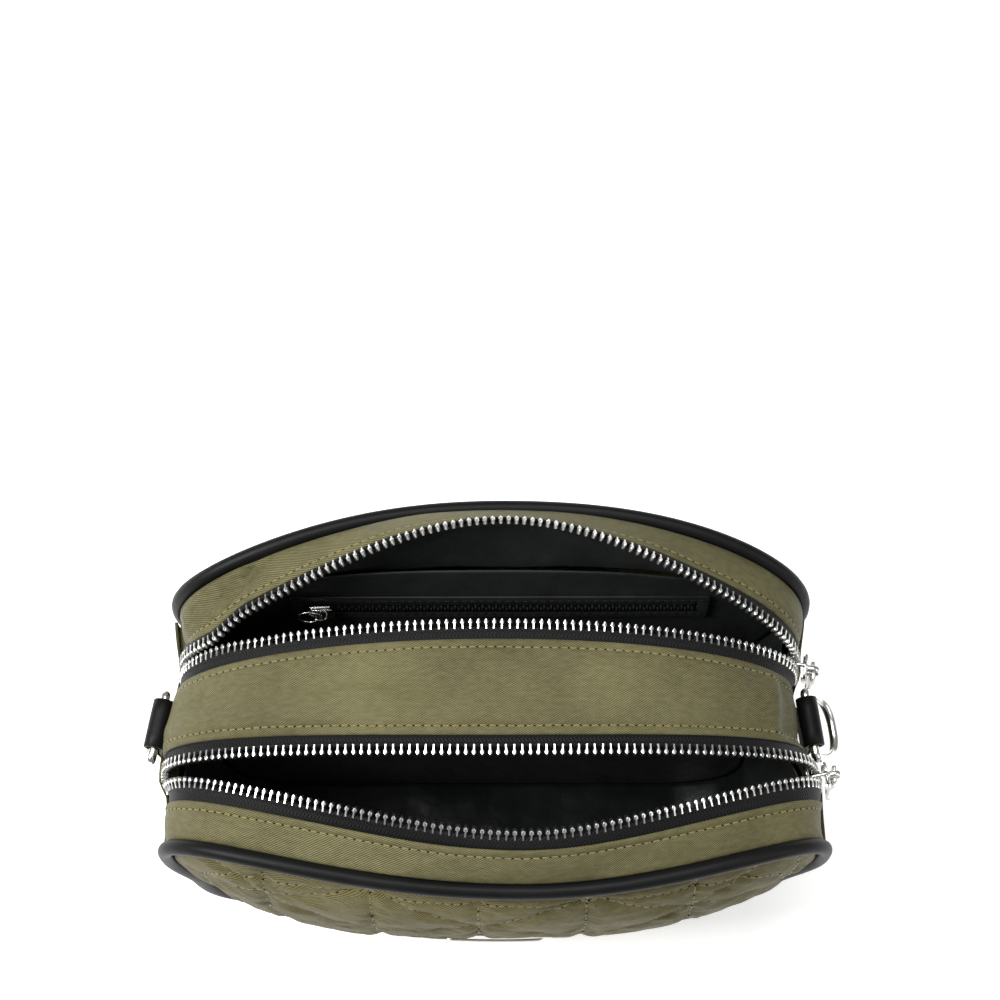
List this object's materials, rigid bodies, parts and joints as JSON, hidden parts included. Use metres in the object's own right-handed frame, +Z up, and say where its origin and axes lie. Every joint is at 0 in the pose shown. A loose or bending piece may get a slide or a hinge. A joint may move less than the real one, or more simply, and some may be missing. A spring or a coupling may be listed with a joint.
{
  "type": "crossbody purse",
  "caption": "Small soft crossbody purse with a quilted front, piped edges, an arched top with open zipped compartments, side strap rings and an inner zipped pocket",
  "frame": {"origin": "middle of the flat underside of the base, on the surface the purse stands on", "axes": "+X to the right side, +Y to the back, +Z up"},
  "size_m": [0.2344, 0.1336, 0.1456],
  "materials": {
    "olive_nylon": "fine diagonal twill nylon with a soft sheen",
    "black_piping": "smooth matte coated fabric",
    "black_tape": "woven herringbone tape",
    "black_lining": "satin lining",
    "padding_foam": "soft sheet wadding",
    "silver_metal": "polished nickel plate",
    "backing_board": "flexible board"
  },
  "bodies": {
    "bag": {"front_panel_cover": "olive_nylon", "back_panel_cover": "olive_nylon", "front_top_strip": "olive_nylon", "middle_top_strip": "olive_nylon", "back_top_strip": "olive_nylon", "lower_gusset": "olive_nylon", "left_zip_end_cover": "olive_nylon", "right_zip_end_cover": "olive_nylon", "front_piping": "black_piping", "back_piping": "black_piping", "left_ring_tab": "black_piping", "right_ring_tab": "black_piping", "front_zip_outer_tape": "black_tape", "front_zip_inner_tape": "black_tape", "back_zip_outer_tape": "black_tape", "back_zip_inner_tape": "black_tape", "pocket_upper_tape": "black_tape", "pocket_lower_tape": "black_tape", "pocket_teeth": "black_tape", "front_lining_band": "black_lining", "back_lining_band": "black_lining", "front_lining_front_wall": "black_lining", "front_lining_rear_wall": "black_lining", "back_lining_front_wall": "black_lining", "back_lining_rear_wall": "black_lining", "pocket_welt": "black_lining", "pocket_bag": "black_lining", "front_panel_padding": "padding_foam", "back_panel_padding": "padding_foam", "front_zip_outer_teeth": "silver_metal", "front_zip_inner_teeth": "silver_metal", "back_zip_outer_teeth": "silver_metal", "back_zip_inner_teeth": "silver_metal", "name_plate": "silver_metal", "base_board": "backing_board", "divider": "backing_board"},
    "left_ring_body": {"left_ring": "silver_metal"},
    "right_ring_body": {"right_ring": "silver_metal"},
    "front_slider_body": {"front_slider": "silver_metal"},
    "front_pull_body": {"front_pull": "silver_metal"},
    "back_slider_body": {"back_slider": "silver_metal"},
    "back_pull_body": {"back_pull": "silver_metal"},
    "pocket_slider_body": {"pocket_slider": "silver_metal"},
    "pocket_pull_body": {"pocket_pull": "silver_metal"}
  },
  "joints": [
    {"name": "left_ring_swing", "type": "hinge", "parent": "bag", "child": "left_ring_body", "pos_m": [-0.1115, -0.0016, 0.091], "axis": [0.165, 0.9863, 0], "range_deg": [0, 135]},
    {"name": "right_ring_swing", "type": "hinge", "parent": "bag", "child": "right_ring_body", "pos_m": [0.1051, -0.0012, 0.091], "axis": [0.1219, -0.9925, 0], "range_deg": [0, 110]},
    {"name": "front_slider_travel", "type": "slide", "parent": "bag", "child": "front_slider_body", "axis": [-0.1384, -0.0178, 0.9902], "range_m": [0, 0.008], "deforming": ["front_zip_outer_teeth", "front_zip_inner_teeth", "front_zip_outer_tape", "front_zip_inner_tape"]},
    {"name": "front_pull_swing", "type": "hinge", "parent": "front_slider_body", "child": "front_pull_body", "pos_m": [0.11174, -0.01974, 0.09415], "axis": [0, -1, 0], "range_deg": [0, 150]},
    {"name": "back_slider_travel", "type": "slide", "parent": "bag", "child": "back_slider_body", "axis": [-0.1193, 0.0807, 0.9896], "range_m": [0, 0.008], "deforming": ["back_zip_outer_teeth", "back_zip_inner_teeth", "back_zip_outer_tape", "back_zip_inner_tape"]},
    {"name": "back_pull_swing", "type": "hinge", "parent": "back_slider_body", "child": "back_pull_body", "pos_m": [0.10672, 0.01563, 0.09398], "axis": [0, -1, 0], "range_deg": [0, 150]},
    {"name": "pocket_slider_travel", "type": "slide", "parent": "bag", "child": "pocket_slider_body", "axis": [1, 0, 0], "range_m": [0, 0.112]},
    {"name": "pocket_pull_swing", "type": "hinge", "parent": "pocket_slider_body", "child": "pocket_pull_body", "pos_m": [-0.058, 0.03322, 0.09856], "axis": [0, 0.1192, 0.9929], "range_deg": [0, 165]}
  ]
}
